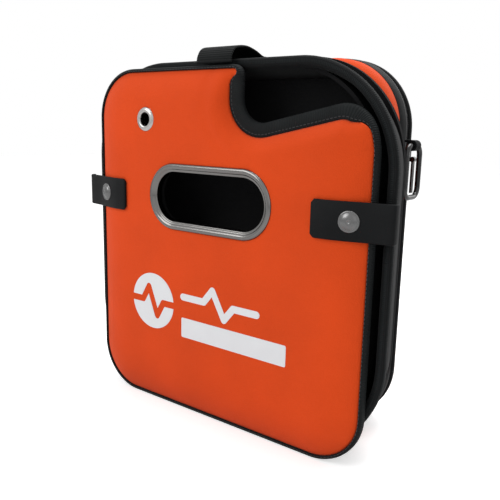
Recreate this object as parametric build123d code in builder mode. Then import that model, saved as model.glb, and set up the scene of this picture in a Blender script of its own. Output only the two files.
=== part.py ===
"""Semi-rigid carry case for an automated external defibrillator.

X runs across the case, Y runs from front to back, Z is up.  The origin is the
middle of the box that holds the case, on the surface that it stands on.
Depths are measured back from the flat front of the cover.
"""
import os

from build123d import *

# ---- driving dimensions, millimetres -------------------------------------
CASE_WIDTH = 302.0
CASE_HEIGHT = 320.0
CASE_CORNER = 46.0

# front cover
CROWN_DEPTH = 7.5
CROWN_WIDTH = 30.0
END_CROWN = 22.0
COVER_DEPTH = 16.0
RIM_FRONT = 9.9
SIDE_BINDING = 3.0
END_BINDING = 3.0
CUT_BINDING = 12.0
SHELL_WALL = 4.0
FIT = 0.3

# handle cut-out in the cover, outer edge of its binding
CUT_LEFT = 25.5
CUT_FLOOR = 268.0
CUT_SHOULDER_X = 141.0
CUT_SHOULDER_Z = 293.6
CUT_INNER_RADIUS = 20.0
CUT_OUTER_RADIUS = 28.0
CUT_STEEPNESS = 3.48
CUT_RUNOUT = 2.0

# window
WINDOW_X = -3.0
WINDOW_Z = 206.0
WINDOW_LENGTH = 137.6
WINDOW_HEIGHT = 60.0
BEZEL_WIDTH = 8.0
BEZEL_PROUD = 2.0
BEZEL_SLEEVE = 1.7
BACKING_WALL = 1.6

# eyelet
EYELET_X = -77.7
EYELET_Z = 274.0
EYELET_RADIUS = 10.9
EYELET_HOLE = 6.0
EYELET_PROUD = 1.5

# printed film on the cover
FILM = 0.25
DISC_X = -69.0
DISC_Z = 104.0
DISC_RADIUS = 27.0
PULSE_LEFT = -30.0
PULSE_RIGHT = 54.0
PULSE_Z = 115.0
PULSE_HEIGHT = 24.0
PULSE_STROKE = 6.5
STRIP_LEFT = -31.8
STRIP_RIGHT = 84.6
STRIP_Z = 85.9
STRIP_HEIGHT = 18.6

# side straps
STRAP_HEIGHT = 30.0
STRAP_Z = 203.0
STRAP_THICK = 2.2
STRAP_TIP = 104.0
STRAP_REACH = 166.0
STRAP_GAP = 0.4
SNAP_X = 135.0
SNAP_RADIUS = 9.2
SNAP_DOME = 3.0
SHANK_RADIUS = 2.5

# top loop
LOOP_LEFT = -24.0
LOOP_WIDTH = 38.0
LOOP_THICK = 2.0
LOOP_RISE = 9.0

# bay
BAY_WIDTH = 326.0
BAY_FRONT = 17.5
BAY_BACK = 56.0
BAY_TAPER = 12.0
BAY_WALL = 5.0
BAY_CORNER = 88.0
BAY_TOP = 325.0
BAY_FLOOR = 1.6
PANEL_WALL = 4.0
LINING = 3.0
BAY_RIM = 7.0

# back compartment
REAR_WIDTH = 268.0
REAR_TOP = 328.0
REAR_CORNER = 58.0
REAR_SPLIT = 98.2
REAR_BACK = 128.0
TAPE_WIDTH = 2.2
TEETH_WIDTH = 1.8
PIPING = 3.2
TAPE_REACH = 8.0
TEETH_INSET = 0.6
TEETH_REACH = 4.5
TEETH_GAP = 0.25
POCKET_WALL = 1.2

# hinge strips under the bay and the lid
STRIP_WIDTH = 140.0
STRIP_WALL = 1.2
STRIP_LAP = 12.0

# oval rings and their tabs
RING_DEPTH = 77.0
RING_WIDTH = 30.0
RING_HEIGHT = 46.0
RING_WIRE = 2.2
RING_CORNER = 8.0
RING_PIVOT_Z = 258.0
RING_STANDOFF = 15.0
TAB_WIDTH = 9.0
TAB_THICK = 1.8

# zip slider and pull
SLIDER_Z = 250.0
SLIDER_LENGTH = 12.0
SLIDER_WIDTH = 6.8
SLIDER_THICK = 3.0
PIN_RADIUS = 1.0
PULL_LENGTH = 28.0
PULL_THICK = 1.6
PULL_WIDTH = 4.0
CHEEK = 1.0

# ---- values worked out from them -----------------------------------------
STRAP_FRONT = STRAP_GAP + STRAP_THICK
FRONT_Y = -(REAR_BACK - STRAP_FRONT) / 2
MID_Z = CASE_HEIGHT / 2
HALF_WIDTH = CASE_WIDTH / 2
REAR_MID_Z = REAR_TOP / 2
REAR_HALF = REAR_WIDTH / 2
COVER_INNER = COVER_DEPTH - 5.5
THROUGH = 40.0

os.makedirs("parts", exist_ok=True)


def front_plane(depth):
    """Plane parallel to the front; a positive extrusion runs to the front."""
    return Plane.XZ.offset(-(FRONT_Y + depth))


def side_plane(x):
    """Plane across the case whose sketch is (Y, Z), with +X as its normal."""
    return Plane.YZ.offset(x)


def save(builder, name):
    """Name a finished piece and write it."""
    builder.part.label = name
    export_step(builder.part, f"parts/{name}.step")


def cover_rectangle(side_margin, end_margin):
    """Rounded outline of the cover, drawn inside its rim by two margins."""
    with Locations((0, MID_Z)):
        RectangleRounded(
            CASE_WIDTH - 2 * side_margin,
            CASE_HEIGHT - 2 * end_margin,
            CASE_CORNER - (side_margin + end_margin) / 2,
        )


def cut_region(margin):
    """Corner taken out of the cover for the hand, grown by a margin."""
    run = HALF_WIDTH + CUT_RUNOUT - CUT_SHOULDER_X
    low = CUT_SHOULDER_Z - CUT_STEEPNESS * run
    far = CASE_HEIGHT + THROUGH
    with BuildSketch(mode=Mode.PRIVATE) as region:
        with BuildLine():
            edge = FilletPolyline(
                (CUT_LEFT, far),
                (CUT_LEFT, CUT_FLOOR),
                (CUT_SHOULDER_X, CUT_SHOULDER_Z),
                (HALF_WIDTH + CUT_RUNOUT, low),
                radius=[CUT_INNER_RADIUS, CUT_OUTER_RADIUS],
            )
            Polyline(edge @ 1, (CASE_WIDTH, low), (CASE_WIDTH, far), edge @ 0)
        make_face()
        if margin > 0:
            offset(amount=margin)
    return region.sketch


def ring_outline(width, top, bottom, corner):
    """Rounded outline that stands between two heights."""
    with Locations((0, (top + bottom) / 2)):
        RectangleRounded(width, top - bottom, corner)


def window_slot(inset):
    """Window outline, drawn inside the bezel's outer edge by an inset."""
    with Locations((WINDOW_X, WINDOW_Z)):
        SlotOverall(WINDOW_LENGTH - 2 * inset, WINDOW_HEIGHT - 2 * inset)


def rear_ring(builder_name, front, back, inset, wall):
    """Ring that follows the back compartment's outline."""
    with BuildPart() as ring:
        with BuildSketch(front_plane(back)):
            ring_outline(REAR_WIDTH - 2 * inset, REAR_TOP - inset, inset, REAR_CORNER - inset)
            inner = inset + wall
            with Locations((0, REAR_MID_Z)):
                RectangleRounded(
                    REAR_WIDTH - 2 * inner,
                    REAR_TOP - 2 * inner,
                    REAR_CORNER - inner,
                    mode=Mode.SUBTRACT,
                )
        extrude(amount=back - front)
    save(ring, builder_name)


# ---- front cover -----------------------------------------------------------
SNAP_SHELL_DEPTH = CROWN_DEPTH * (SNAP_X - (HALF_WIDTH - SIDE_BINDING - CROWN_WIDTH)) / CROWN_WIDTH

with BuildPart() as cover_shell:
    with BuildSketch(front_plane(CROWN_DEPTH)):
        cover_rectangle(SIDE_BINDING, END_BINDING)
    extrude(amount=-(COVER_DEPTH - CROWN_DEPTH))
    with BuildSketch(front_plane(CROWN_DEPTH)):
        cover_rectangle(SIDE_BINDING, END_BINDING)
    with BuildSketch(front_plane(0)):
        cover_rectangle(SIDE_BINDING + CROWN_WIDTH, END_BINDING + END_CROWN)
    loft()
    with BuildSketch(front_plane(COVER_DEPTH)):
        cover_rectangle(SIDE_BINDING + CROWN_WIDTH, END_BINDING + END_CROWN)
        add(cut_region(CUT_BINDING + SHELL_WALL), mode=Mode.SUBTRACT)
    extrude(amount=COVER_DEPTH - SHELL_WALL, mode=Mode.SUBTRACT)
    with BuildSketch(front_plane(COVER_DEPTH)):
        add(cut_region(CUT_BINDING))
        window_slot(BEZEL_WIDTH - BEZEL_SLEEVE)
        with Locations((EYELET_X, EYELET_Z)):
            Circle(EYELET_HOLE + 1)
        with Locations((-SNAP_X, STRAP_Z), (SNAP_X, STRAP_Z)):
            Circle(SHANK_RADIUS + FIT / 2)
    extrude(amount=THROUGH, mode=Mode.SUBTRACT)
save(cover_shell, "cover_shell")

with BuildPart() as cover_foam:
    with BuildSketch(front_plane(COVER_INNER)):
        cover_rectangle(SIDE_BINDING + CROWN_WIDTH + FIT, END_BINDING + END_CROWN + FIT)
        add(cut_region(CUT_BINDING + SHELL_WALL + FIT), mode=Mode.SUBTRACT)
        with Locations((WINDOW_X, WINDOW_Z)):
            SlotOverall(WINDOW_LENGTH + 1, WINDOW_HEIGHT + 1, mode=Mode.SUBTRACT)
        with Locations((EYELET_X, EYELET_Z)):
            Circle(EYELET_RADIUS + 1, mode=Mode.SUBTRACT)
    extrude(amount=COVER_INNER - SHELL_WALL - 0.1)
save(cover_foam, "cover_foam")

with BuildPart() as cover_rim_binding:
    with BuildSketch(front_plane(COVER_DEPTH)):
        cover_rectangle(0, 0)
        add(cut_region(0), mode=Mode.SUBTRACT)
    extrude(amount=COVER_DEPTH - RIM_FRONT)
    with BuildSketch(front_plane(COVER_DEPTH)):
        cover_rectangle(SIDE_BINDING, END_BINDING)
        add(cut_region(CUT_BINDING), mode=Mode.SUBTRACT)
    extrude(amount=COVER_DEPTH, mode=Mode.SUBTRACT)
save(cover_rim_binding, "cover_rim_binding")

with BuildPart() as window_bezel:
    with BuildSketch(front_plane(0)):
        window_slot(0)
    extrude(amount=BEZEL_PROUD)
    with BuildSketch(front_plane(SHELL_WALL + BACKING_WALL)):
        window_slot(BEZEL_WIDTH - BEZEL_SLEEVE + FIT / 2)
    extrude(amount=SHELL_WALL + BACKING_WALL)
    with BuildSketch(front_plane(THROUGH)):
        window_slot(BEZEL_WIDTH)
    extrude(amount=2 * THROUGH, mode=Mode.SUBTRACT)
save(window_bezel, "window_bezel")

with BuildPart() as window_backing:
    with BuildSketch(front_plane(SHELL_WALL + BACKING_WALL)):
        window_slot(0)
        with Locations((WINDOW_X, WINDOW_Z)):
            inset = 2 * (BEZEL_WIDTH - BEZEL_SLEEVE)
            SlotOverall(WINDOW_LENGTH - inset, WINDOW_HEIGHT - inset, mode=Mode.SUBTRACT)
    extrude(amount=BACKING_WALL)
save(window_backing, "window_backing")

with BuildPart() as eyelet:
    with BuildSketch(front_plane(0)):
        with Locations((EYELET_X, EYELET_Z)):
            Circle(EYELET_RADIUS)
            Circle(EYELET_HOLE, mode=Mode.SUBTRACT)
    extrude(amount=EYELET_PROUD)
    with BuildSketch(front_plane(SHELL_WALL + BACKING_WALL)):
        with Locations((EYELET_X, EYELET_Z)):
            Circle(EYELET_HOLE + 1 - FIT / 2)
            Circle(EYELET_HOLE, mode=Mode.SUBTRACT)
    extrude(amount=SHELL_WALL + BACKING_WALL)
save(eyelet, "eyelet")

with BuildPart() as eyelet_washer:
    with BuildSketch(front_plane(SHELL_WALL + BACKING_WALL)):
        with Locations((EYELET_X, EYELET_Z)):
            Circle(EYELET_RADIUS)
            Circle(EYELET_HOLE + 1, mode=Mode.SUBTRACT)
    extrude(amount=BACKING_WALL)
save(eyelet_washer, "eyelet_washer")



def pulse_points(left, right, middle, height):
    """Plain heartbeat trace between two ends."""
    span = right - left
    return [
        (left, middle),
        (left + 0.30 * span, middle),
        (left + 0.42 * span, middle + height / 2),
        (left + 0.58 * span, middle - height / 2),
        (left + 0.70 * span, middle),
        (right, middle),
    ]


with BuildPart() as printed_disc:
    with BuildSketch(front_plane(0)):
        with Locations((DISC_X, DISC_Z)):
            Circle(DISC_RADIUS)
        with BuildLine():
            reach = DISC_RADIUS + PULSE_STROKE
            Polyline(*pulse_points(DISC_X - reach, DISC_X + reach, DISC_Z, DISC_RADIUS))
            offset(amount=PULSE_STROKE / 2)
        make_face(mode=Mode.SUBTRACT)
    extrude(amount=FILM)
save(printed_disc, "printed_disc")

with BuildPart() as printed_pulse:
    with BuildSketch(front_plane(0)):
        with BuildLine():
            Polyline(*pulse_points(PULSE_LEFT, PULSE_RIGHT, PULSE_Z, PULSE_HEIGHT))
            offset(amount=PULSE_STROKE / 2)
        make_face()
    extrude(amount=FILM)
save(printed_pulse, "printed_pulse")

with BuildPart() as printed_strip:
    with BuildSketch(front_plane(0)):
        with Locations(((STRIP_LEFT + STRIP_RIGHT) / 2, STRIP_Z)):
            RectangleRounded(STRIP_RIGHT - STRIP_LEFT, STRIP_HEIGHT, 1.5)
    extrude(amount=FILM)
save(printed_strip, "printed_strip")

# ---- side straps, their snaps and the studs they close on ------------------
CROWN_START = HALF_WIDTH - SIDE_BINDING - CROWN_WIDTH
CROWN_END = HALF_WIDTH - SIDE_BINDING


def strap_line(lift):
    """Strap from its tip to its sewn end, seen from above, at a given lift."""
    return [
        (STRAP_TIP, FRONT_Y - STRAP_GAP - lift),
        (CROWN_START, FRONT_Y - STRAP_GAP - lift),
        (CROWN_END, FRONT_Y + CROWN_DEPTH - STRAP_GAP - lift),
        (STRAP_REACH + lift, FRONT_Y + RIM_FRONT - STRAP_GAP - lift),
        (STRAP_REACH + lift, FRONT_Y + COVER_DEPTH - 2),
    ]


for side, name in ((1, "right"), (-1, "left")):
    with BuildPart() as strap:
        with BuildSketch(Plane.XY.offset(STRAP_Z - STRAP_HEIGHT / 2)):
            with BuildLine():
                inner = strap_line(0)
                outer = strap_line(STRAP_THICK)
                Polyline(*[(side * x, y) for x, y in inner + outer[::-1]], close=True)
            make_face()
        extrude(amount=STRAP_HEIGHT)
        with BuildSketch(front_plane(THROUGH)):
            with Locations((side * SNAP_X, STRAP_Z)):
                Circle(SHANK_RADIUS)
        extrude(amount=2 * THROUGH, mode=Mode.SUBTRACT)
    save(strap, f"strap_{name}")

    lift_depth = SNAP_SHELL_DEPTH - STRAP_GAP
    tilt = (CROWN_END - CROWN_START, CROWN_DEPTH)
    cap_plane = Plane(
        origin=(side * SNAP_X, FRONT_Y + lift_depth - STRAP_THICK - FIT, STRAP_Z),
        x_dir=(0, 0, 1),
        z_dir=(side * tilt[1], -tilt[0], 0),
    )
    with BuildPart() as snap_cap:
        with BuildSketch(cap_plane):
            Circle(SNAP_RADIUS)
        extrude(amount=SNAP_DOME)
        fillet(snap_cap.edges().sort_by(Axis.Y)[0], radius=SNAP_DOME * 0.8)
    save(snap_cap, f"snap_cap_{name}")

    with BuildPart() as snap_stud:
        with BuildSketch(front_plane(COVER_DEPTH - 4)):
            with Locations((side * SNAP_X, STRAP_Z)):
                Circle(SHANK_RADIUS)
        extrude(amount=COVER_DEPTH - 4 - SNAP_SHELL_DEPTH - 1)
    save(snap_stud, f"snap_stud_{name}")

# ---- top loop ----------------------------------------------------------------
LOOP_START = FRONT_Y + RIM_FRONT
LOOP_END = FRONT_Y + BAY_BACK + PANEL_WALL
LOOP_SEAT = REAR_TOP + STRAP_GAP


def loop_line(lift):
    """Loop from the cover's top to the back panel, seen from the side."""
    return [
        (LOOP_START + 1, CASE_HEIGHT + STRAP_GAP + lift),
        (LOOP_START + 6, REAR_TOP + 5 + lift),
        (LOOP_START + 22, REAR_TOP + LOOP_RISE - LOOP_THICK + lift),
        (LOOP_START + 36, REAR_TOP + 4.5 + lift),
        (LOOP_END - 4, LOOP_SEAT + lift),
        (LOOP_END + 6, LOOP_SEAT + lift),
    ]


with BuildPart() as top_loop:
    with BuildSketch(side_plane(LOOP_LEFT)):
        with BuildLine():
            under = loop_line(0)
            over = loop_line(LOOP_THICK)
            over[0] = (LOOP_START - 1, CASE_HEIGHT + STRAP_GAP)
            over[1] = (LOOP_START + 4, REAR_TOP + 5 + LOOP_THICK)
            Polyline(*(under + over[::-1]), close=True)
        make_face()
    extrude(amount=LOOP_WIDTH)
save(top_loop, "top_loop_strap")

# ---- bay ---------------------------------------------------------------------
with BuildPart() as bay_wall:
    for inset, mode in ((0, Mode.ADD), (BAY_WALL, Mode.SUBTRACT)):
        with BuildSketch(front_plane(BAY_FRONT)):
            ring_outline(BAY_WIDTH - 2 * inset, BAY_TOP - inset, BAY_FLOOR + inset, BAY_CORNER - inset)
        with BuildSketch(front_plane(BAY_BACK)):
            width = BAY_WIDTH - 2 * BAY_TAPER - 2 * inset
            ring_outline(width, BAY_TOP - inset, BAY_FLOOR + inset, BAY_CORNER - inset)
        loft(mode=mode)
save(bay_wall, "bay_wall")

with BuildPart() as bay_back_panel:
    with BuildSketch(front_plane(BAY_BACK + PANEL_WALL)):
        ring_outline(BAY_WIDTH - 2 * BAY_TAPER, REAR_TOP, BAY_FLOOR, BAY_CORNER)
    extrude(amount=PANEL_WALL)
save(bay_back_panel, "bay_back_panel")

with BuildPart() as bay_rim_binding:
    with BuildSketch(front_plane(BAY_FRONT + BAY_RIM)):
        inset = BAY_WALL + FIT
        width = BAY_WIDTH - 2 * BAY_TAPER * BAY_RIM / (BAY_BACK - BAY_FRONT) - 2 * inset
        ring_outline(width, BAY_TOP - inset, BAY_FLOOR + inset, BAY_CORNER - inset)
        inset += 2.2
        with Locations((0, (BAY_TOP + BAY_FLOOR) / 2)):
            RectangleRounded(
                width - 2 * 2.2, BAY_TOP - BAY_FLOOR - 2 * inset, BAY_CORNER - inset, mode=Mode.SUBTRACT
            )
    extrude(amount=BAY_RIM)
save(bay_rim_binding, "bay_rim_binding")

lining_width = BAY_WIDTH - 2 * (BAY_WALL + BAY_TAPER + FIT)
lining_top = BAY_TOP - BAY_WALL - FIT
lining_floor = BAY_FLOOR + BAY_WALL + FIT

with BuildPart() as bay_lining:
    with BuildSketch(front_plane(BAY_BACK - LINING - FIT)):
        ring_outline(lining_width, lining_top, lining_floor, BAY_CORNER - BAY_WALL)
        with Locations((0, (BAY_TOP + BAY_FLOOR) / 2)):
            height = BAY_TOP - BAY_FLOOR - 2 * (BAY_WALL + FIT + LINING)
            RectangleRounded(lining_width - 2 * LINING, height, BAY_CORNER - BAY_WALL - LINING, mode=Mode.SUBTRACT)
    extrude(amount=BAY_BACK - LINING - FIT - BAY_FRONT - BAY_RIM - 1)
save(bay_lining, "bay_lining")

with BuildPart() as bay_back_pad:
    with BuildSketch(front_plane(BAY_BACK)):
        ring_outline(lining_width, lining_top, lining_floor, BAY_CORNER - BAY_WALL)
    extrude(amount=LINING)
save(bay_back_pad, "bay_back_pad")

# ---- back compartment ----------------------------------------------------------
REAR_FRONT = BAY_BACK + PANEL_WALL
shell_back = REAR_SPLIT - TEETH_GAP - TEETH_WIDTH - TAPE_WIDTH
lid_front = REAR_SPLIT + TEETH_GAP + TEETH_WIDTH + TAPE_WIDTH

with BuildPart() as rear_shell:
    with BuildSketch(front_plane(shell_back)):
        ring_outline(REAR_WIDTH, REAR_TOP, 0, REAR_CORNER)
    extrude(amount=shell_back - REAR_FRONT)
    with BuildSketch(front_plane(shell_back)):
        ring_outline(REAR_WIDTH - 2 * SHELL_WALL, REAR_TOP - SHELL_WALL, SHELL_WALL, REAR_CORNER - SHELL_WALL)
    extrude(amount=shell_back - REAR_FRONT - SHELL_WALL, mode=Mode.SUBTRACT)
save(rear_shell, "rear_shell")

with BuildPart() as lid_shell:
    with BuildSketch(front_plane(REAR_BACK)):
        ring_outline(REAR_WIDTH, REAR_TOP, 0, REAR_CORNER)
    extrude(amount=REAR_BACK - lid_front)
    fillet(lid_shell.faces().sort_by(Axis.Y)[-1].edges(), radius=14)
    with BuildSketch(front_plane(REAR_BACK - SHELL_WALL)):
        inset = 2 * SHELL_WALL
        ring_outline(REAR_WIDTH - 2 * inset, REAR_TOP - inset, inset, REAR_CORNER - inset)
    extrude(amount=REAR_BACK - SHELL_WALL - lid_front, mode=Mode.SUBTRACT)
save(lid_shell, "lid_shell")

rear_ring("shell_piping", shell_back, shell_back + TAPE_WIDTH, 0, PIPING)
rear_ring("zip_tape_body", shell_back, shell_back + TAPE_WIDTH, PIPING + FIT, TAPE_REACH)
rear_ring("zip_teeth_body", shell_back + TAPE_WIDTH, REAR_SPLIT - TEETH_GAP, TEETH_INSET, TEETH_REACH)
rear_ring("zip_teeth_lid", REAR_SPLIT + TEETH_GAP, lid_front - TAPE_WIDTH, TEETH_INSET, TEETH_REACH)
rear_ring("zip_tape_lid", lid_front - TAPE_WIDTH, lid_front, PIPING + FIT, TAPE_REACH)
rear_ring("lid_piping", lid_front - TAPE_WIDTH, lid_front, 0, PIPING)

with BuildPart() as lid_foam:
    with BuildSketch(front_plane(REAR_BACK - SHELL_WALL - FIT)):
        inset = 2 * SHELL_WALL + FIT
        ring_outline(REAR_WIDTH - 2 * inset, REAR_TOP - inset, inset, REAR_CORNER - inset)
    extrude(amount=LINING)
save(lid_foam, "lid_foam")

with BuildPart() as lid_pocket:
    with BuildSketch(front_plane(REAR_BACK - SHELL_WALL - LINING - 2 * FIT)):
        with Locations((0, REAR_MID_Z * 0.6)):
            RectangleRounded(REAR_WIDTH * 0.78, REAR_TOP * 0.45, 10)
    extrude(amount=POCKET_WALL)
save(lid_pocket, "lid_pocket")

# ---- hinge strips ----------------------------------------------------------------
with BuildPart() as cover_hinge_strip:
    with BuildSketch(front_plane(BAY_BACK)):
        with Locations((0, STRIP_WALL / 2)):
            Rectangle(STRIP_WIDTH, STRIP_WALL)
    extrude(amount=BAY_BACK - COVER_DEPTH - 1.0)
save(cover_hinge_strip, "cover_hinge_strip")

with BuildPart() as lid_hinge_strip:
    with BuildSketch(front_plane(REAR_SPLIT - TEETH_GAP)):
        with Locations((0, PIPING + TAPE_REACH + 2 * FIT + STRIP_WALL / 2)):
            Rectangle(STRIP_WIDTH, STRIP_WALL)
    extrude(amount=STRIP_LAP)
save(lid_hinge_strip, "lid_hinge_strip")

# ---- oval rings on their tabs ------------------------------------------------------
PIVOT_X = REAR_HALF + RING_STANDOFF
RING_Y = FRONT_Y + RING_DEPTH

for side, name in ((1, "right"), (-1, "left")):
    with BuildPart() as ring:
        centre_z = RING_PIVOT_Z - RING_HEIGHT / 2 + RING_WIRE
        half_y = RING_WIDTH / 2 - RING_WIRE
        half_z = RING_HEIGHT / 2 - RING_WIRE
        with BuildLine(side_plane(side * PIVOT_X)) as wire:
            FilletPolyline(
                (RING_Y - half_y, centre_z - half_z),
                (RING_Y - half_y, centre_z + half_z),
                (RING_Y + half_y, centre_z + half_z),
                (RING_Y + half_y, centre_z - half_z),
                radius=RING_CORNER,
                close=True,
            )
        with BuildSketch(Plane(origin=wire.line @ 0, z_dir=wire.line % 0)):
            Circle(RING_WIRE)
        sweep(path=wire.line)
    save(ring, f"ring_{name}")

    with BuildPart() as ring_tab:
        with BuildSketch(Plane.XZ.offset(-(RING_Y + TAB_WIDTH / 2))):
            with Locations((side * PIVOT_X, RING_PIVOT_Z)):
                Circle(RING_WIRE + FIT + TAB_THICK)
            tab_length = RING_STANDOFF - FIT
            tab_z = RING_PIVOT_Z + RING_WIRE + FIT + TAB_THICK / 2
            with Locations((side * (PIVOT_X - tab_length / 2), tab_z)):
                Rectangle(tab_length, TAB_THICK)
            with Locations((side * PIVOT_X, RING_PIVOT_Z)):
                Circle(RING_WIRE + FIT, mode=Mode.SUBTRACT)
        extrude(amount=TAB_WIDTH)
    save(ring_tab, f"ring_tab_{name}")

# ---- zip slider and pull --------------------------------------------------------------
SLIDER_FRONT_Y = FRONT_Y + REAR_SPLIT - SLIDER_WIDTH / 2
SLIDER_X = REAR_HALF + FIT
PIN_X = SLIDER_X + SLIDER_THICK + 3
PIN_Z = SLIDER_Z - SLIDER_LENGTH / 2 + 2
KNUCKLE = PIN_RADIUS + 1.3

with BuildPart() as zip_slider:
    with BuildSketch(Plane.XY.offset(SLIDER_Z - SLIDER_LENGTH / 2)):
        with Locations((SLIDER_X + SLIDER_THICK / 2, FRONT_Y + REAR_SPLIT)):
            RectangleRounded(SLIDER_THICK, SLIDER_WIDTH, 1)
    extrude(amount=SLIDER_LENGTH)
    for y in (SLIDER_FRONT_Y + CHEEK, SLIDER_FRONT_Y + SLIDER_WIDTH):
        with BuildSketch(Plane.XZ.offset(-y)):
            with Locations((PIN_X - 1.5, PIN_Z)):
                Rectangle(5, 3)
        extrude(amount=CHEEK)
    with BuildSketch(Plane.XZ.offset(-(SLIDER_FRONT_Y + SLIDER_WIDTH))):
        with Locations((PIN_X, PIN_Z)):
            Circle(PIN_RADIUS)
    extrude(amount=SLIDER_WIDTH)
save(zip_slider, "zip_slider")

with BuildPart() as zip_pull:
    with BuildSketch(Plane.XZ.offset(-(FRONT_Y + REAR_SPLIT + PULL_WIDTH / 2))):
        with Locations((PIN_X, PIN_Z)):
            Circle(KNUCKLE)
        with Locations((PIN_X, PIN_Z - PULL_LENGTH / 2)):
            Rectangle(PULL_THICK, PULL_LENGTH)
        with Locations((PIN_X, PIN_Z)):
            Circle(PIN_RADIUS + FIT, mode=Mode.SUBTRACT)
    extrude(amount=PULL_WIDTH)
save(zip_pull, "zip_pull")
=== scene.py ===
import math

import bmesh
import bpy
import numpy as np
from mathutils import Matrix, Vector
from mathutils.geometry import delaunay_2d_cdt


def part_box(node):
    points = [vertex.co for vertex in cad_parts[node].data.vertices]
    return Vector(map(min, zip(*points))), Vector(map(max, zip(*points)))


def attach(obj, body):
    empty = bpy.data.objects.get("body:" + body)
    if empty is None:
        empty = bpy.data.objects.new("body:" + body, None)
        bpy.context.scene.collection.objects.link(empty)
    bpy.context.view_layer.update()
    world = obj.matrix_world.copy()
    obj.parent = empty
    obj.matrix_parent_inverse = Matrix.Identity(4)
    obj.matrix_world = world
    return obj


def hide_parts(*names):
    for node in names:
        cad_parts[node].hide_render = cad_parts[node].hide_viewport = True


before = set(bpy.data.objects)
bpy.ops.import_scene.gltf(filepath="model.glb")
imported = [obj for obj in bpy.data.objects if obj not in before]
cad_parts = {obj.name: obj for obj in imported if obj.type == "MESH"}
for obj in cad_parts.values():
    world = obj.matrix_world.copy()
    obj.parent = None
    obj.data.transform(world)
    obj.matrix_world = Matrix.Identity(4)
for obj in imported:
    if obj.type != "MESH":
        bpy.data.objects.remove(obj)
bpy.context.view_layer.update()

# ---- sizes, in millimetres unless a name says otherwise ---------------------
MM = 0.001
FRONT_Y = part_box("cover_shell")[0].y
RIM_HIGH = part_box("cover_rim_binding")[1]
REAR_LOW, REAR_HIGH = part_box("rear_shell")
LID_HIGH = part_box("lid_shell")[1]
BAY_LOW, BAY_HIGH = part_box("bay_wall")
WINDOW_LOW, WINDOW_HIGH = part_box("window_backing")
EYELET_LOW, EYELET_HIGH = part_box("eyelet")
HALF_WIDTH = RIM_HIGH.x / MM
HEIGHT = RIM_HIGH.z / MM
REAR_HALF = REAR_HIGH.x / MM
REAR_TOP = REAR_HIGH.z / MM
BAY_HALF = BAY_HIGH.x / MM
BAY_TOP = BAY_HIGH.z / MM
BAY_FLOOR = BAY_LOW.z / MM
LID_BACK = (LID_HIGH.y - FRONT_Y) / MM
REAR_FRONT = (REAR_LOW.y - FRONT_Y) / MM
REAR_BACK = (REAR_HIGH.y - FRONT_Y) / MM
LID_FRONT = (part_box("lid_shell")[0].y - FRONT_Y) / MM

BOX_CORNERS = ((-1, 1), (-1, -1), (1, -1), (1, 1))
COVER_CORNER = 46.0
CUT_LEFT = 25.5
CUT_FLOOR = 268
CUT_SHOULDER_X = 141
CUT_SHOULDER_Z = 293.6
CUT_RUNOUT_Z = 258.8
CUT_RUNOUT_RADIUS = 60
CUT_OUTER_RADIUS = 28
CUT_INNER_RADIUS = 20
CUT_TOP_RADIUS = 10
WINDOW_LIP = 4
EYELET_OPENING = 7
LINING_DEPTH = 14.4
LINING_INSET = 1.5
BAY_FRONT = 17.5
BAY_GAP = 4
SIDE_BINDING = 3.0
CUT_BINDING = 12.0
CUT_BLEND = 14.0
CROWN_REACH = 46.0
CROWN_DROP = 10.8
CROWN_CURVE = 2.8
CUT_REACH = 17.0
CUT_DROP = 9.0
TEETH_INSET = 1.6
LID_INSET = 3.6
LID_REACH = 60.0
LID_CURVE = 2.2
CREASE_AT = 22.0
CREASE_DEPTH = 0.7
CREASE_WIDTH = 2.2
SHELL_WALL = 3.0
GRID = 5.0
REAR_CORNER = 58.0
BAY_CORNER = 88.0
BAY_TAPER = 12.0


def place(x, depth, z):
    """Point in the frame from millimetres across, behind the front, and up."""
    return Vector((x * MM, FRONT_Y + depth * MM, z * MM))


# ---- materials ----------------------------------------------------------------
def node_material(name, colour, roughness, metallic=0.0, sheen=0.0):
    """Principled material with its constants on the shader's own sockets."""
    made = bpy.data.materials.new(name)
    made.use_nodes = True
    shader = made.node_tree.nodes["Principled BSDF"]
    shader.inputs["Base Color"].default_value = (*colour, 1)
    shader.inputs["Roughness"].default_value = roughness
    shader.inputs["Metallic"].default_value = metallic
    shader.inputs["Sheen Weight"].default_value = sheen
    return made, made.node_tree, shader


def mottle(tree, shader, colour, spread, scale):
    """Slow change of the colour over the surface."""
    coord = tree.nodes.new("ShaderNodeTexCoord")
    noise = tree.nodes.new("ShaderNodeTexNoise")
    noise.inputs["Scale"].default_value = scale
    noise.inputs["Detail"].default_value = 4
    ramp = tree.nodes.new("ShaderNodeValToRGB")
    ramp.color_ramp.elements[0].position = 0.3
    ramp.color_ramp.elements[1].position = 0.7
    ramp.color_ramp.elements[0].color = (*[c * (1 - spread) for c in colour], 1)
    ramp.color_ramp.elements[1].color = (*[min(1, c * (1 + spread)) for c in colour], 1)
    tree.links.new(coord.outputs["Object"], noise.inputs["Vector"])
    tree.links.new(noise.outputs["Fac"], ramp.inputs["Fac"])
    tree.links.new(ramp.outputs["Color"], shader.inputs["Base Color"])
    return coord


def bump(tree, shader, height, distance, strength=1.0):
    """Small relief from a height."""
    relief = tree.nodes.new("ShaderNodeBump")
    relief.inputs["Distance"].default_value = distance
    relief.inputs["Strength"].default_value = strength
    tree.links.new(height, relief.inputs["Height"])
    tree.links.new(relief.outputs["Normal"], shader.inputs["Normal"])


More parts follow.
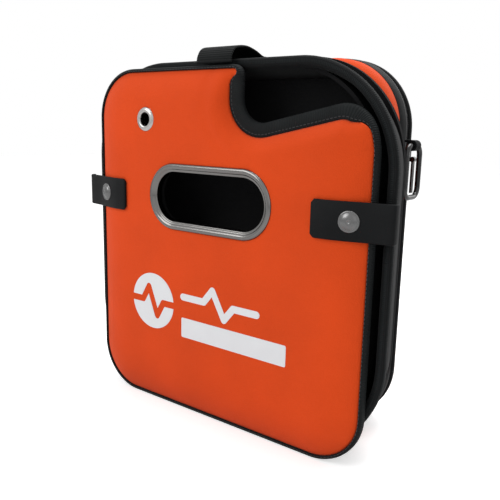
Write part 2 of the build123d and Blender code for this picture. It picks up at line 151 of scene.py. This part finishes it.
def knit(name, colour, sheen, spread=0.07):
    """Fine knitted cloth over moulded foam."""
    made, tree, shader = node_material(name, colour, 0.85, sheen=sheen)
    shader.inputs["Sheen Roughness"].default_value = 0.5
    shader.inputs["Specular IOR Level"].default_value = 0.12
    coord = mottle(tree, shader, colour, spread, 14)
    loops = tree.nodes.new("ShaderNodeTexVoronoi")
    loops.inputs["Scale"].default_value = 1100
    fibre = tree.nodes.new("ShaderNodeTexNoise")
    fibre.inputs["Scale"].default_value = 420
    fibre.inputs["Detail"].default_value = 3
    both = tree.nodes.new("ShaderNodeMath")
    both.operation = "ADD"
    for texture, output, socket in ((loops, "Distance", 0), (fibre, "Fac", 1)):
        tree.links.new(coord.outputs["Object"], texture.inputs["Vector"])
        tree.links.new(texture.outputs[output], both.inputs[socket])
    bump(tree, shader, both.outputs[0], 0.0003, 0.55)
    return made


def ribbed(name, colour, ribs_per_metre, roughness=0.72):
    """Grosgrain tape: ribs that run across the tape, from its own UV map."""
    made, tree, shader = node_material(name, colour, roughness)
    shader.inputs["Specular IOR Level"].default_value = 0.12
    mottle(tree, shader, colour, 0.18, 60)
    uv = tree.nodes.new("ShaderNodeUVMap")
    uv.uv_map = "along"
    wave = tree.nodes.new("ShaderNodeTexWave")
    wave.bands_direction = "X"
    wave.inputs["Scale"].default_value = ribs_per_metre / 3.14159
    wave.inputs["Distortion"].default_value = 0.6
    tree.links.new(uv.outputs["UV"], wave.inputs["Vector"])
    bump(tree, shader, wave.outputs["Fac"], 0.0004, 0.8)
    return made


def grained(name, colour, roughness, scale, depth, spread=0.2, gloss=0.3):
    """Pebbled grain, as on coated strap material or moulded plastic."""
    made, tree, shader = node_material(name, colour, roughness)
    shader.inputs["Specular IOR Level"].default_value = gloss
    coord = mottle(tree, shader, colour, spread, 45)
    cells = tree.nodes.new("ShaderNodeTexVoronoi")
    cells.inputs["Scale"].default_value = scale
    tree.links.new(coord.outputs["Object"], cells.inputs["Vector"])
    bump(tree, shader, cells.outputs["Distance"], depth, 0.7)
    return made


def metal(name, colour, roughness):
    """Polished plating with faint smears in its gloss."""
    made, tree, shader = node_material(name, colour, roughness, metallic=1.0)
    coord = tree.nodes.new("ShaderNodeTexCoord")
    noise = tree.nodes.new("ShaderNodeTexNoise")
    noise.inputs["Scale"].default_value = 90
    span = tree.nodes.new("ShaderNodeMapRange")
    span.inputs["To Min"].default_value = roughness * 0.7
    span.inputs["To Max"].default_value = roughness * 1.5
    tree.links.new(coord.outputs["Object"], noise.inputs["Vector"])
    tree.links.new(noise.outputs["Fac"], span.inputs["Value"])
    tree.links.new(span.outputs["Result"], shader.inputs["Roughness"])
    return made


ORANGE = (0.64, 0.060, 0.0075)
BLACK = (0.006, 0.0065, 0.007)
ORANGE_KNIT = knit("orange_knit", ORANGE, 0.05)
BLACK_KNIT = knit("black_knit", BLACK, 0.02, 0.2)
LINING = knit("black_lining", (0.006, 0.006, 0.0065), 0.0, 0.2)
TAPE = ribbed("grosgrain_tape", (0.008, 0.0095, 0.010), 620)
WEBBING = ribbed("loop_webbing", (0.005, 0.0058, 0.006), 480)
ZIP_TAPE = ribbed("zip_tape", (0.007, 0.007, 0.0075), 900)
COATED = grained("coated_strap", (0.004, 0.0045, 0.005), 0.6, 1300, 0.00015, gloss=0.12)
PIPING = grained("piping_cloth", (0.006, 0.0065, 0.007), 0.6, 1800, 0.0001, gloss=0.15)
COIL = grained("zip_coil", (0.011, 0.011, 0.0115), 0.4, 900, 0.00005)
RING_PLASTIC = grained("ring_enamel", (0.006, 0.006, 0.0065), 0.16, 500, 0.00002, gloss=0.5)
DARK_NICKEL = metal("dark_nickel", (0.17, 0.165, 0.16), 0.16)
NICKEL = metal("nickel", (0.42, 0.41, 0.40), 0.22)
SNAP_NICKEL = metal("snap_nickel", (0.15, 0.15, 0.15), 0.24)
FILM = grained("white_film", (0.69, 0.71, 0.73), 0.5, 2200, 0.00002, spread=0.015)
THREAD = grained("black_thread", (0.035, 0.036, 0.038), 0.6, 3000, 0.00005)
MESH_CLOTH = grained("pocket_mesh", (0.02, 0.02, 0.021), 0.8, 500, 0.0005)


# ---- outlines -------------------------------------------------------------------
def outline(corners, step=3.0):
    """Closed outline through rounded corners (x, z, radius), counter-clockwise.

    Returns the points and the outward normals."""
    spots = [Vector(c[:2]) for c in corners]
    points, normals = [], []
    ends = []
    for i, (_, _, radius) in enumerate(corners):
        before = (spots[i] - spots[i - 1]).normalized()
        after = (spots[(i + 1) % len(spots)] - spots[i]).normalized()
        turn = before.cross(after)
        angle = math.atan2(turn, before.dot(after))
        cut = radius * math.tan(abs(angle) / 2)
        ends.append((before, after, angle, cut, radius))
    for i, (before, after, angle, cut, radius) in enumerate(ends):
        start = spots[i] - before * cut
        side = 1 if angle > 0 else -1
        centre = start + Vector((-before.y, before.x)) * radius * side
        count = max(3, int(radius * abs(angle) / step))
        for k in range(count + 1):
            turned = Matrix.Rotation(angle * k / count, 2)
            heading = turned @ before
            points.append(centre + turned @ (start - centre))
            normals.append(Vector((heading.y, -heading.x)))
        following = ends[(i + 1) % len(ends)]
        leave = spots[i] + after * cut
        arrive = spots[(i + 1) % len(spots)] - after * following[3]
        pieces = max(1, int((arrive - leave).length / step))
        for k in range(1, pieces):
            points.append(leave.lerp(arrive, k / pieces))
            normals.append(Vector((after.y, -after.x)))
    return np.array(points), np.array(normals)


def rectangle(half, floor, top, radius):
    """Rounded rectangle that stands between two heights."""
    corners = ((-half, top), (-half, floor), (half, floor), (half, top))
    return outline([(x, z, radius) for x, z in corners])


def grown(shape, amount):
    """Points of an outline moved out along its normals."""
    return shape[0] + shape[1] * amount


COVER = outline([
    (-HALF_WIDTH, HEIGHT, COVER_CORNER),
    (-HALF_WIDTH, 0, COVER_CORNER),
    (HALF_WIDTH, 0, COVER_CORNER),
    (HALF_WIDTH, CUT_RUNOUT_Z, CUT_RUNOUT_RADIUS),
    (CUT_SHOULDER_X, CUT_SHOULDER_Z, CUT_OUTER_RADIUS),
    (CUT_LEFT, CUT_FLOOR, CUT_INNER_RADIUS),
    (CUT_LEFT, HEIGHT, CUT_TOP_RADIUS),
])
COVER_BOX = rectangle(HALF_WIDTH, 0, HEIGHT, COVER_CORNER)
REAR = rectangle(REAR_HALF, 0, REAR_TOP, REAR_CORNER)
BAY = rectangle(BAY_HALF, BAY_FLOOR, BAY_TOP, BAY_CORNER)
WINDOW_X = (WINDOW_LOW.x + WINDOW_HIGH.x) / 2 / MM
WINDOW_Z = (WINDOW_LOW.z + WINDOW_HIGH.z) / 2 / MM
WINDOW_HALF = (WINDOW_HIGH.x - WINDOW_LOW.x) / 2 / MM
WINDOW_TALL = (WINDOW_HIGH.z - WINDOW_LOW.z) / 2 / MM
WINDOW = outline([(WINDOW_X + dx * WINDOW_HALF, WINDOW_Z + dz * WINDOW_TALL, WINDOW_TALL - 0.01)
                  for dx, dz in BOX_CORNERS], 2.0)
EYELET_X = (EYELET_LOW.x + EYELET_HIGH.x) / 2 / MM
EYELET_Z = (EYELET_LOW.z + EYELET_HIGH.z) / 2 / MM


# ---- mesh makers -------------------------------------------------------------------
def new_object(name, mesh, material, smooth=True):
    """Object at the origin, in the scene, with one material."""
    made = bpy.data.objects.new(name, mesh)
    bpy.context.scene.collection.objects.link(made)
    mesh.materials.clear()
    mesh.materials.append(material)
    for polygon in mesh.polygons:
        polygon.use_smooth = smooth
    return made


def swept(name, rings, material, closed=True):
    """Skin over rings of points; the u of its UV map runs along in metres."""
    count = len(rings[0])
    mesh = bmesh.new()
    layer = mesh.loops.layers.uv.new("along")
    verts = [[mesh.verts.new(p) for p in ring] for ring in rings]
    travel = [0.0]
    for a, b in zip(rings, rings[1:] + rings[:1]):
        travel.append(travel[-1] + (Vector(b[0]) - Vector(a[0])).length)
    spans = len(rings) if closed else len(rings) - 1
    for i in range(spans):
        j = (i + 1) % len(rings)
        for k in range(count):
            m = (k + 1) % count
            face = mesh.faces.new((verts[i][k], verts[j][k], verts[j][m], verts[i][m]))
            ends = ((i, k), (i + 1, k), (i + 1, k + 1), (i, k + 1))
            for loop, (row, column) in zip(face.loops, ends):
                loop[layer].uv = (travel[row], column / count * 0.02)
    if not closed:
        mesh.faces.new(verts[0])
        mesh.faces.new(verts[-1])
    bmesh.ops.recalc_face_normals(mesh, faces=mesh.faces)
    data = bpy.data.meshes.new(name)
    mesh.to_mesh(data)
    mesh.free()
    return new_object(name, data, material)


def band(name, shape, profile, material, widths=None):
    """Ring with a closed section (out, depth) that follows an outline.

    The widths, one for each point, stretch the section across."""
    rings = []
    widths = np.ones(len(shape[0])) if widths is None else widths
    for spot, normal, width in zip(*shape, widths):
        spots = [(spot + normal * out * width, depth) for out, depth in profile]
        rings.append([place(x, depth, z) for (x, z), depth in spots])
    return swept(name, rings, material)


def round_section(out, depth, radius, squash=1.0, count=12):
    """Circle of section points about a middle."""
    return [(out + radius * math.cos(math.tau * k / count),
             depth + radius * squash * math.sin(math.tau * k / count)) for k in range(count)]


def inside(points, polygon):
    """True for the points that lie in a polygon."""
    hit = np.zeros(len(points), bool)
    for (x1, z1), (x2, z2) in zip(polygon, np.roll(polygon, -1, axis=0)):
        crosses = (z1 > points[:, 1]) != (z2 > points[:, 1])
        if z1 != z2:
            hit ^= crosses & (points[:, 0] < (x2 - x1) * (points[:, 1] - z1) / (z2 - z1) + x1)
    return hit


def nearest(points, line):
    """Distance from each point to the closest of a line's points."""
    return np.array([np.hypot(*(line - p).T).min() for p in points])


def panel(name, edge, holes, depth_at, material, wall, loops=(1.5, 4.0, 8.0)):
    """Moulded panel inside an outline: a triangulated skin with its own depth."""
    border = edge[0]
    rows = [border] + [hole[0] for hole in holes]
    verts, edges = [], []
    for row in rows:
        first = len(verts)
        verts += [Vector(p) for p in row]
        edges += [(first + k, first + (k + 1) % len(row)) for k in range(len(row))]
    low, high = border.min(0), border.max(0)
    grid = np.stack(np.meshgrid(np.arange(low[0], high[0], GRID), np.arange(low[1], high[1], GRID)), -1)
    free = grid.reshape(-1, 2)
    free = free[inside(free, border)]
    for row in rows:
        free = free[nearest(free, row) > (loops[-1] + 2.5 if row is border else 2.5)]
    for hole in holes:
        free = free[~inside(free, hole[0])]
    rims = [grown(edge, -step) for step in loops]
    verts += [Vector(p) for p in free] + [Vector(p) for rim in rims for p in rim]
    flat, _, faces, *_ = delaunay_2d_cdt(verts, edges, [], 1, 1e-6)
    flat = np.array(flat)
    keep = np.array([flat[list(f)].mean(0) for f in faces])
    good = inside(keep, border)
    for hole in holes:
        good &= ~inside(keep, hole[0])
    depths = depth_at(flat)
    data = bpy.data.meshes.new(name)
    data.from_pydata([place(x, d, z) for (x, z), d in zip(flat, depths)], [],
                     [f for f, g in zip(faces, good) if g])
    mesh = bmesh.new()
    mesh.from_mesh(data)
    bmesh.ops.delete(mesh, geom=[v for v in mesh.verts if not v.link_faces], context="VERTS")
    facing = sum(f.normal.y * f.calc_area() for f in mesh.faces)
    if facing * wall > 0:
        bmesh.ops.reverse_faces(mesh, faces=mesh.faces)
    mesh.to_mesh(data)
    mesh.free()
    made = new_object(name, data, material)
    thick = made.modifiers.new("wall", "SOLIDIFY")
    thick.thickness = abs(wall) * MM
    thick.offset = -1
    return made


def tape(name, path, across, width, thick, material, tip=0):
    """Flat tape along a path, with softly rounded edges and a rounded tip."""
    half = width / 2
    edge = thick / 2
    section = [(-half + edge, edge), (half - edge, edge), (half - edge * 0.3, edge * 0.7), (half, 0),
               (half - edge * 0.3, -edge * 0.7), (half - edge, -edge), (-half + edge, -edge),
               (-half + edge * 0.3, -edge * 0.7), (-half, 0), (-half + edge * 0.3, edge * 0.7)]
    rings = []
    run = 0.0
    for i, spot in enumerate(path):
        ahead = path[min(i + 1, len(path) - 1)] - path[max(i - 1, 0)]
        up = across.cross(ahead.normalized()).normalized()
        if i:
            run += (spot - path[i - 1]).length / MM
        scale = 1.0 if not tip or run > tip else 1 - tip / half * (1 - math.sqrt(1 - (1 - run / tip) ** 2))
        rings.append([spot + across * (a * scale * MM) + up * (b * MM) for a, b in section])
    return swept(name, rings, material, closed=False)


def smooth_path(points, count):
    """Even points along a smooth curve through a few, each (across, depth, up)."""
    spots = [Vector(p) for p in points]
    spots = [spots[0] * 2 - spots[1]] + spots + [spots[-1] * 2 - spots[-2]]
    made = []
    for i in range(1, len(spots) - 2):
        a, b, c, d = spots[i - 1:i + 3]
        for k in range(count):
            t = k / count
            made.append(0.5 * ((2 * b) + (c - a) * t + (2 * a - 5 * b + 4 * c - d) * t * t
                               + (3 * b - a - 3 * c + d) * t ** 3))
    made.append(spots[-2])
    return [place(*p) for p in made]


def turned(name, centre, axis, profile, material, count=48):
    """Turned piece from a section (radius, height) about an axis."""
    turn = Vector((0, 0, 1)).rotation_difference(axis).to_matrix()
    rings = []
    for i in range(count):
        angle = math.tau * i / count
        rings.append([centre + turn @ Vector((r * math.cos(angle), r * math.sin(angle), h)) * MM
                      for r, h in profile])
    made = swept(name, rings, material)
    mesh = bmesh.new()
    mesh.from_mesh(made.data)
    bmesh.ops.remove_doubles(mesh, verts=mesh.verts, dist=1e-6)
    bmesh.ops.recalc_face_normals(mesh, faces=mesh.faces)
    mesh.to_mesh(made.data)
    mesh.free()
    return made


def along_tree():
    """Node tree that sets small blocks at even steps along a loop of edges."""
    tree = bpy.data.node_groups.new("blocks_along", "GeometryNodeTree")
    face = tree.interface
    face.new_socket("Geometry", in_out="INPUT", socket_type="NodeSocketGeometry")
    for label in ("Spacing", "Length", "Width", "Height"):
        face.new_socket(label, in_out="INPUT", socket_type="NodeSocketFloat")
    face.new_socket("Material", in_out="INPUT", socket_type="NodeSocketMaterial")
    face.new_socket("Geometry", in_out="OUTPUT", socket_type="NodeSocketGeometry")
    add = tree.nodes.new
    source, sink = add("NodeGroupInput"), add("NodeGroupOutput")
    curve, even = add("GeometryNodeMeshToCurve"), add("GeometryNodeResampleCurve")
    even.mode = "LENGTH"
    tangent, align = add("GeometryNodeInputTangent"), add("FunctionNodeAlignRotationToVector")
    align.axis = "X"
    align.pivot_axis = "Y"
    size, block = add("ShaderNodeCombineXYZ"), add("GeometryNodeMeshCube")
    spread, real = add("GeometryNodeInstanceOnPoints"), add("GeometryNodeRealizeInstances")
    paint = add("GeometryNodeSetMaterial")
    link = tree.links.new
    link(source.outputs["Geometry"], curve.inputs["Mesh"])
    link(curve.outputs["Curve"], even.inputs["Curve"])
    link(source.outputs["Spacing"], even.inputs["Length"])
    link(tangent.outputs["Tangent"], align.inputs["Vector"])
    for label, axis in (("Length", "X"), ("Width", "Y"), ("Height", "Z")):
        link(source.outputs[label], size.inputs[axis])
    link(size.outputs["Vector"], block.inputs["Size"])
    link(even.outputs["Curve"], spread.inputs["Points"])
    link(block.outputs["Mesh"], spread.inputs["Instance"])
    link(align.outputs["Rotation"], spread.inputs["Rotation"])
    link(spread.outputs["Instances"], real.inputs["Geometry"])
    link(real.outputs["Geometry"], paint.inputs["Geometry"])
    link(source.outputs["Material"], paint.inputs["Material"])
    link(paint.outputs["Geometry"], sink.inputs["Geometry"])
    return tree


ALONG = along_tree()


def blocks_along(name, points, depth, spacing, size, material):
    """Small blocks, such as teeth or stitches, at even steps along a line."""
    line = bpy.data.meshes.new(name + "_line")
    count = len(points)
    line.from_pydata([place(x, depth, z) for x, z in points],
                     [(k, (k + 1) % count) for k in range(count)], [])
    carrier = bpy.data.objects.new(name + "_line", line)
    bpy.context.scene.collection.objects.link(carrier)
    modifier = carrier.modifiers.new("blocks", "NODES")
    modifier.node_group = ALONG
    values = {"Spacing": spacing * MM, "Length": size[0] * MM, "Width": size[1] * MM,
              "Height": size[2] * MM, "Material": material}
    for item in ALONG.interface.items_tree:
        if item.in_out == "INPUT" and item.name in values:
            modifier[item.identifier] = values[item.name]
    graph = bpy.context.evaluated_depsgraph_get()
    mesh = bpy.data.meshes.new_from_object(carrier.evaluated_get(graph))
    bpy.data.objects.remove(carrier)
    made = new_object(name, mesh, material, smooth=False)
    round_off = made.modifiers.new("soft_edges", "BEVEL")
    round_off.width = min(size) * MM * 0.3
    round_off.segments = 1
    return made


def dress(piece, body, slot, *nodes):
    """Hangs a finished piece on its body and hides the nodes it stands for; its slot is not used."""
    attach(piece, body)
    if nodes:
        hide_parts(*nodes)
    return piece


# ---- front cover -----------------------------------------------------------------
FROM_BOX = np.clip(nearest(COVER[0], COVER_BOX[0]) - 2, 0, CUT_BLEND) / CUT_BLEND
AT_CUT = FROM_BOX ** 2 * (3 - 2 * FROM_BOX)
WIDTHS = SIDE_BINDING + (CUT_BINDING - SIDE_BINDING) * AT_CUT
ORANGE_EDGE = (COVER[0] - COVER[1] * WIDTHS[:, None], COVER[1])
FULL_EDGE = grown(COVER_BOX, -SIDE_BINDING)
CUT_LINE = ORANGE_EDGE[0][AT_CUT > 0.5]


def cover_depth(points):
    """Depth of the moulded front: flat middle, crowned edges, a faint crease."""
    to_edge = np.clip(nearest(points, FULL_EDGE), 0, CROWN_REACH)
    out = ~inside(points, FULL_EDGE)
    to_edge[out] = 0
    to_cut = nearest(points, CUT_LINE)
    crown = CROWN_DROP * (1 - to_edge / CROWN_REACH) ** CROWN_CURVE
    roll = CUT_DROP * (1 - np.clip(to_cut, 0, CUT_REACH) / CUT_REACH) ** 2.2
    crease = CREASE_DEPTH * np.exp(-((to_cut - CREASE_AT) / CREASE_WIDTH) ** 2)
    return np.clip(np.hypot(crown, roll), 0, CROWN_DROP) + crease


def build_cover():
    hole = (grown(WINDOW, -WINDOW_LIP), WINDOW[1])
    ring = outline([(EYELET_X + dx * EYELET_OPENING, EYELET_Z + dz * EYELET_OPENING, 6.9)
                    for dx, dz in BOX_CORNERS])
    front = panel("cover_front", ORANGE_EDGE, [hole, ring], cover_depth, ORANGE_KNIT, SHELL_WALL)
    dress(front, "cover", "orange_fabric", "cover_shell", "cover_foam")
    binding = [(-13.6, 12.5), (-12.4, 9.7), (-11, 8.7), (-6, 8.9), (-2.4, 9.6), (-0.6, 10.8), (0, 12.4),
               (0, 14.6), (-1, 15.7), (-4, 16), (-13.6, 16)]
    edge = band("cover_binding", COVER, binding, TAPE, WIDTHS / CUT_BINDING)
    dress(edge, "cover", "black_webbing", "cover_rim_binding")
    seam = COVER[0] - COVER[1] * (WIDTHS * 0.8)[:, None]
    stitches = blocks_along("cover_binding_stitches", seam, 8.75, 3.4, (2.2, 0.5, 0.55), THREAD)
    dress(stitches, "cover", "black_webbing")
    inset = COVER[0] - COVER[1] * (WIDTHS + LINING_INSET)[:, None]
    back = panel("cover_back_lining", (inset, COVER[1]), [hole],
                 lambda p: np.full(len(p), LINING_DEPTH), LINING, -0.8)
    dress(back, "cover", "black_lining")


def build_window():
    section = [(0, 0.9), (-0.1, -0.4), (-1.0, -1.6), (-2.4, -2.0), (-4.0, -1.7), (-5.2, -0.6), (-5.9, 0.3),
               (-6.7, 0.1), (-7.4, 0.4), (-7.8, 1.4), (-8.0, 6.5), (-6.6, 6.5), (-6.4, 1.6)]
    bezel = band("window_frame", WINDOW, section, DARK_NICKEL)
    dress(bezel, "cover", "dark_nickel", "window_bezel")


def build_eyelet():
    section = [(6.0, 5.0), (6.0, -0.6), (6.6, -1.3), (7.6, -1.5), (9.3, -1.2), (10.6, -0.3),
               (10.9, 0.2), (7.2, 0.4)]
    section = [(r, -d) for r, d in section]
    ring = turned("eyelet_ring", place(EYELET_X, 0, EYELET_Z), Vector((0, -1, 0)), section, NICKEL)
    dress(ring, "cover", "nickel", "eyelet")


# ---- side straps ---------------------------------------------------------------------
STRAP_LOW, STRAP_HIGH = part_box("strap_right")
STRAP_Z = (STRAP_LOW.z + STRAP_HIGH.z) / 2 / MM
STRAP_TALL = (STRAP_HIGH.z - STRAP_LOW.z) / MM
STRAP_TIP = STRAP_LOW.x / MM
STRAP_END = STRAP_HIGH.x / MM


def build_strap(side, name):
    line = [(STRAP_TIP, -1.6), (118, -1.4), (133, 1.6), (148, 5.9), (160, 8.0), (STRAP_END - 2.2, 9.2),
            (STRAP_END - 1.1, 11.0), (STRAP_END - 1.1, 14.0)]
    path = smooth_path([(side * x, d, STRAP_Z) for x, d in line], 6)
    strap = tape(f"side_strap_{name}", path, Vector((0, 0, 1)), STRAP_TALL, 2.0, COATED, tip=2.5)
    dress(strap, f"strap_{name}", "black_leather", f"strap_{name}")
    low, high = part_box(f"snap_cap_{name}")
    middle = (low + high) / 2
    axis = Vector((side * 0.24, -0.97, 0)).normalized()
    base = middle - axis * 1.6 * MM
    dome = [(0.01, 3.0), (2.8, 2.85), (4.9, 2.3), (6.2, 1.5), (6.6, 1.15), (7.1, 1.35), (7.9, 1.3),
            (8.4, 0.7), (8.4, -0.2), (0.01, -0.2)]
    cap = turned(f"snap_dome_{name}", base, axis, dome, SNAP_NICKEL)
    dress(cap, f"strap_{name}", "nickel", f"snap_cap_{name}")


# ---- top loop ------------------------------------------------------------------------
def build_loop():
    low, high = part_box("top_loop_strap")
    middle = (low.x + high.x) / 2 / MM
    width = (high.x - low.x) / MM
    top = high.z / MM
    path = smooth_path([(middle, 9.9, HEIGHT + 1.6), (middle, 11.4, HEIGHT + 8), (middle, 17, top - 3.0),
                        (middle, 31, top - 1.1), (middle, 44, top - 3.4), (middle, 55, top - 7.2),
                        (middle, 64.5, top - 7.4)], 7)
    loop = tape("carry_loop", path, Vector((1, 0, 0)), width, 2.0, WEBBING)
    dress(loop, "top_loop", "black_webbing", "top_loop_strap")


# ---- bay ------------------------------------------------------------------------------
def build_bay():
    front, back = BAY_FRONT, REAR_FRONT - BAY_GAP
    section = [(-7, front + 0.4), (-2, front), (-0.3, front + 1.2), (-0.4, front + 7), (-2.2, front + 8.2),
               (-5.2, front + 18), (-BAY_TAPER, back), (-BAY_TAPER - 4, back), (-9, front + 8)]
    dress(band("bay_side", BAY, section, BLACK_KNIT), "case", "black_side_fabric", "bay_wall")
    roll = round_section(-3.4, front + 3.2, 3.6, 0.95)
    dress(band("bay_edge_binding", BAY, roll, TAPE), "case", "black_webbing", "bay_rim_binding")


# ---- back compartment --------------------------------------------------------------------
def build_back():
    front = REAR_FRONT
    section = [(-20, front + 0.4), (-12, front + 0.6), (-6, front + 2.2), (-2, front + 6),
               (-0.2, front + 11), (0, REAR_BACK - 1), (-3, REAR_BACK), (-3.6, front + 12),
               (-9, front + 4.5), (-20, front + 3.5)]
    shell = band("back_shell", REAR, section, ORANGE_KNIT)
    dress(shell, "case", "orange_fabric", "rear_shell")
    inner = panel("back_inner_lining", (grown(REAR, -4.5), REAR[1]), [],
                  lambda p: np.full(len(p), front + 5.0), LINING, 1.0)
    dress(inner, "case", "black_lining")

    def lid_depth(points):
        to_edge = np.clip(nearest(points, REAR[0]) - LID_INSET, 0, LID_REACH)
        rise = LID_BACK - LID_FRONT - 2
        return LID_BACK - rise * (1 - to_edge / LID_REACH) ** LID_CURVE

    lid = panel("lid_back", (grown(REAR, -LID_INSET), REAR[1]), [], lid_depth, ORANGE_KNIT, -SHELL_WALL,
                loops=(0.7, 2.0, 4.5, 8.0))
    dress(lid, "rear_lid", "orange_fabric", "lid_shell")
    split = (REAR_BACK + LID_FRONT) / 2
    # sections (out, depth behind the split)
    trims = {
        "shell": [(-1, -17), (0.4, -16.5), (0.5, -8), (0.9, -6.5), (0.9, -4.2), (0.1, -3.5),
                  (-3.6, -2.9), (-3.6, -17)],
        "lid": [(0.1, 3.5), (0.9, 4.2), (0.7, 6.5), (-0.8, 9.5), (-4, 11), (-6, 9), (-4, 3)],
    }
    for body, name, sign in (("case", "shell", -1), ("rear_lid", "lid", 1)):
        section = [(out, split + back) for out, back in trims[name]]
        cord = band(f"{name}_piping_roll", REAR, section, PIPING)
        dress(cord, body, "black_piping", f"{name}_piping")
        strip = [(-11, split + sign * 1.5), (-1.9, split + sign * 1.5), (-1.9, split + sign * 3.6),
                 (-11, split + sign * 3.6)]
        zip_part = "body" if sign < 0 else "lid"
        dress(band(f"zip_{name}_tape", REAR, strip, ZIP_TAPE), body, "zip_tape", f"zip_tape_{zip_part}")
        teeth = blocks_along(f"zip_{name}_teeth", grown(REAR, -TEETH_INSET), split + sign * 1.25, 1.7,
                             (0.95, 2.0, 1.9), COIL)
        dress(teeth, body, "zip_coil", f"zip_teeth_{zip_part}")


# ---- carried-over pieces ---------------------------------------------------------------------
CARRIED = {
    "bay_back_panel": LINING, "bay_lining": LINING, "bay_back_pad": LINING, "window_backing": NICKEL,
    "eyelet_washer": NICKEL, "snap_stud_left": NICKEL, "snap_stud_right": NICKEL, "printed_disc": FILM,
    "printed_pulse": FILM, "printed_strip": FILM, "cover_hinge_strip": BLACK_KNIT,
    "lid_hinge_strip": BLACK_KNIT, "ring_left": RING_PLASTIC, "ring_right": RING_PLASTIC,
    "ring_tab_left": BLACK_KNIT, "ring_tab_right": BLACK_KNIT, "zip_slider": RING_PLASTIC,
    "zip_pull": RING_PLASTIC, "lid_foam": LINING, "lid_pocket": MESH_CLOTH,
}


def paint_carried():
    for name, material in CARRIED.items():
        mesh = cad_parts[name].data
        mesh.materials.clear()
        mesh.materials.append(material)


# ---- camera, light and floor ---------------------------------------------------------------------
CAMERA_TURN = (37.06, 11.37, 1.37)
CAMERA_PLACE = (349.0, -401.7, 270.8)
CAMERA_LENS = 44.64
# name, position and size in metres, watts
LAMPS = (
    ("key", (-0.7, -1.3, 1.2), 1.1, 13),
    ("fill", (1.5, -0.8, 0.9), 1.2, 1.2),
    ("top", (0.1, 0.4, 1.7), 1.0, 22),
    ("back", (0.5, 1.5, 0.9), 1.2, 6),
)
FLOOR_GLOW = 0.5
SOFT_LIGHT = 0.55


def build_camera():
    yaw, pitch, roll = (math.radians(a) for a in CAMERA_TURN)
    ahead = Vector((-math.sin(yaw) * math.cos(pitch), math.cos(yaw) * math.cos(pitch), -math.sin(pitch)))
    right = Vector((math.cos(yaw), math.sin(yaw), 0))
    up = right.cross(ahead)
    right, up = (right * math.cos(roll) + up * math.sin(roll), up * math.cos(roll) - right * math.sin(roll))
    data = bpy.data.cameras.new("camera")
    data.lens = CAMERA_LENS
    camera = bpy.data.objects.new("camera", data)
    bpy.context.scene.collection.objects.link(camera)
    turn = Matrix((right, up, -ahead)).transposed().to_4x4()
    camera.matrix_world = Matrix.Translation(place(*CAMERA_PLACE)) @ turn
    bpy.context.scene.camera = camera


def build_stage():
    bpy.ops.mesh.primitive_plane_add(size=8)
    floor = bpy.context.object
    floor.name = "floor"
    made, tree, shader = node_material("floor_white", (0.82, 0.82, 0.82), 0.9)
    path = tree.nodes.new("ShaderNodeLightPath")
    glow = tree.nodes.new("ShaderNodeEmission")
    glow.inputs["Strength"].default_value = FLOOR_GLOW
    mix = tree.nodes.new("ShaderNodeMixShader")
    both = tree.nodes.new("ShaderNodeAddShader")
    tree.links.new(path.outputs["Is Camera Ray"], mix.inputs["Fac"])
    tree.links.new(shader.outputs[0], both.inputs[0])
    tree.links.new(glow.outputs[0], both.inputs[1])
    tree.links.new(shader.outputs[0], mix.inputs[1])
    tree.links.new(both.outputs[0], mix.inputs[2])
    output = tree.nodes["Material Output"]
    tree.links.new(mix.outputs[0], output.inputs["Surface"])
    floor.data.materials.append(made)
    for name, spot, size, power in LAMPS:
        data = bpy.data.lights.new(name, "AREA")
        data.size = size
        data.energy = power
        lamp = bpy.data.objects.new(name, data)
        bpy.context.scene.collection.objects.link(lamp)
        lamp.location = spot
        lamp.rotation_euler = (Vector((0, 0, 0.16)) - Vector(spot)).to_track_quat("-Z", "Y").to_euler()
    world = bpy.data.worlds.new("world")
    bpy.context.scene.world = world
    world.use_nodes = True
    tree = world.node_tree
    soft = tree.nodes["Background"]
    soft.inputs["Color"].default_value = (1, 1, 1, 1)
    soft.inputs["Strength"].default_value = SOFT_LIGHT
    white = tree.nodes.new("ShaderNodeBackground")
    white.inputs["Color"].default_value = (1, 1, 1, 1)
    white.inputs["Strength"].default_value = 1
    path = tree.nodes.new("ShaderNodeLightPath")
    seen = tree.nodes.new("ShaderNodeMath")
    seen.operation = "MAXIMUM"
    more = tree.nodes.new("ShaderNodeMath")
    more.operation = "MAXIMUM"
    mix = tree.nodes.new("ShaderNodeMixShader")
    tree.links.new(path.outputs["Is Camera Ray"], seen.inputs[0])
    tree.links.new(path.outputs["Is Glossy Ray"], seen.inputs[1])
    tree.links.new(seen.outputs[0], more.inputs[0])
    tree.links.new(path.outputs["Is Transmission Ray"], more.inputs[1])
    tree.links.new(more.outputs[0], mix.inputs["Fac"])
    tree.links.new(soft.outputs[0], mix.inputs[1])
    tree.links.new(white.outputs[0], mix.inputs[2])
    tree.links.new(mix.outputs[0], tree.nodes["World Output"].inputs["Surface"])
    bpy.context.scene.view_settings.view_transform = "Standard"


build_camera()
build_stage()
build_cover()
build_window()
build_eyelet()
build_strap(1, "right")
build_strap(-1, "left")
build_loop()
build_bay()
build_back()
paint_carried()
